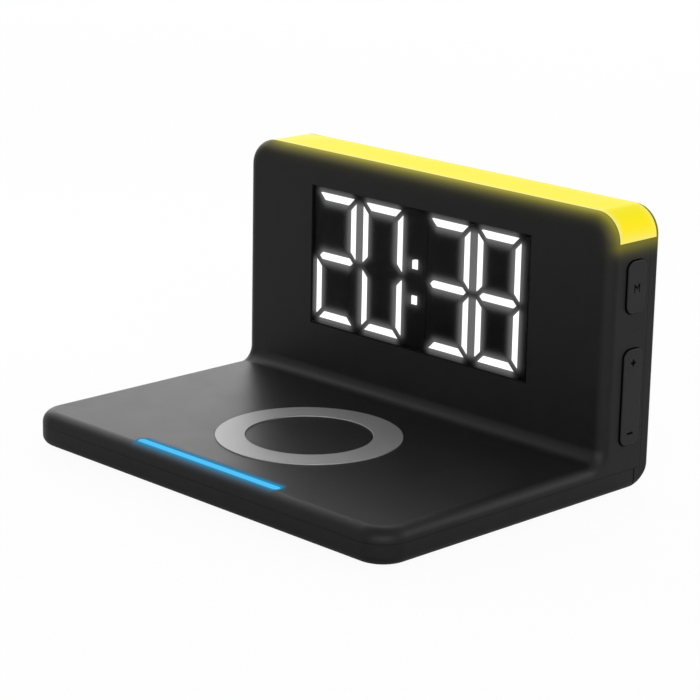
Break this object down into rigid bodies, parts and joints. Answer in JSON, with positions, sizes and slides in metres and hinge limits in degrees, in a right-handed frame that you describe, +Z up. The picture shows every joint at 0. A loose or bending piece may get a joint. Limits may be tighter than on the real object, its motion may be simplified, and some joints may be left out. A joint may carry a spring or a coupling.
{
  "type": "wireless charging clock",
  "caption": "L-shaped bedside clock: a flat wireless charging pad in front of an upright head with an LED display, a light bar along its top and sprung buttons on one side.",
  "frame": {"origin": "centre of the footprint, on the surface that the rubber feet stand on", "axes": "+X to the right along the width, seen from the display side; -Y towards the front of the charging pad; +Z up"},
  "size_m": [0.1606, 0.117, 0.089],
  "materials": {
    "black_shell": "satin moulded black",
    "black_button": "fine textured black",
    "smoked_lens": "smoked, clear gloss",
    "black_inner_plastic": "matt black",
    "grey_grip": "smooth grey silicone",
    "black_rubber": "matt rubber",
    "white_light": "lit diffuser",
    "yellow_light": "lit translucent diffuser",
    "blue_light": "lit light pipe",
    "green_board": "solder resist over glass fibre",
    "led_package": "white package with a yellow gel",
    "steel": "plated",
    "copper": "enamelled copper wire",
    "ferrite": "dull dark grey",
    "ribbon_grey": "flat ribbon insulation"
  },
  "bodies": {
    "body": {"front_housing": "black_shell", "rear_cover": "black_shell", "bottom_cover": "black_shell", "light_bar": "yellow_light", "light_bar_board": "green_board", "light_bar_led_1": "led_package", "light_bar_led_2": "led_package", "light_bar_led_3": "led_package", "light_bar_led_4": "led_package", "light_bar_led_5": "led_package", "display_lens": "smoked_lens", "segment_mask": "black_inner_plastic", "hour_tens_digit": "white_light", "hour_units_digit": "white_light", "colon_dots": "white_light", "minute_tens_digit": "white_light", "minute_units_digit": "white_light", "clock_board": "green_board", "grip_ring": "grey_grip", "charging_coil": "copper", "ferrite_sheet": "ferrite", "indicator_light": "blue_light", "indicator_board": "green_board", "indicator_led_1": "led_package", "indicator_led_2": "led_package", "indicator_led_3": "led_package", "rocker_bracket": "steel", "rocker_pin": "steel", "button_board": "green_board", "mode_switch": "black_inner_plastic", "minus_switch": "black_inner_plastic", "plus_switch": "black_inner_plastic", "charger_board": "green_board", "power_socket": "steel", "alarm_buzzer": "black_inner_plastic", "ribbon_cable": "ribbon_grey", "base_screw_1": "steel", "base_screw_2": "steel", "base_screw_3": "steel", "base_screw_4": "steel", "rear_screw_1": "steel", "rear_screw_2": "steel", "rear_screw_3": "steel", "rear_screw_4": "steel", "clock_board_screw_1": "steel", "clock_board_screw_2": "steel", "charger_board_screw_1": "steel", "charger_board_screw_2": "steel", "button_board_screw_1": "steel", "button_board_screw_2": "steel", "foot_1": "black_rubber", "foot_2": "black_rubber", "foot_3": "black_rubber", "foot_4": "black_rubber"},
    "mode_button": {"mode_button": "black_button"},
    "adjust_rocker": {"adjust_rocker": "black_button"},
    "mode_plunger": {"mode_plunger": "steel"},
    "minus_plunger": {"minus_plunger": "steel"},
    "plus_plunger": {"plus_plunger": "steel"}
  },
  "joints": [
    {"name": "mode_press", "type": "slide", "parent": "body", "child": "mode_button", "axis": [-1, 0, 0], "range_m": [0, 0.0005], "stiffness_N_per_m": 800},
    {"name": "rocker_tilt", "type": "hinge", "parent": "body", "child": "adjust_rocker", "pos_m": [0.07465, 0.0477, 0.0312], "axis": [0, 1, 0], "range_deg": [-2, 2], "stiffness_Nm_per_rad": 0.1},
    {"name": "mode_plunger_slide", "type": "slide", "parent": "body", "child": "mode_plunger", "axis": [-1, 0, 0], "range_m": [0, 0.0005]},
    {"name": "minus_plunger_slide", "type": "slide", "parent": "body", "child": "minus_plunger", "axis": [-1, 0, 0], "range_m": [-0.0004, 0.0004]},
    {"name": "plus_plunger_slide", "type": "slide", "parent": "body", "child": "plus_plunger", "axis": [-1, 0, 0], "range_m": [-0.0004, 0.0004]}
  ],
  "couplings": [
    {"joint": "mode_plunger_slide", "follows": "mode_press", "ratio": 1},
    {"joint": "minus_plunger_slide", "follows": "rocker_tilt", "m_per_rad": 0.0112},
    {"joint": "plus_plunger_slide", "follows": "rocker_tilt", "m_per_rad": -0.0112}
  ]
}
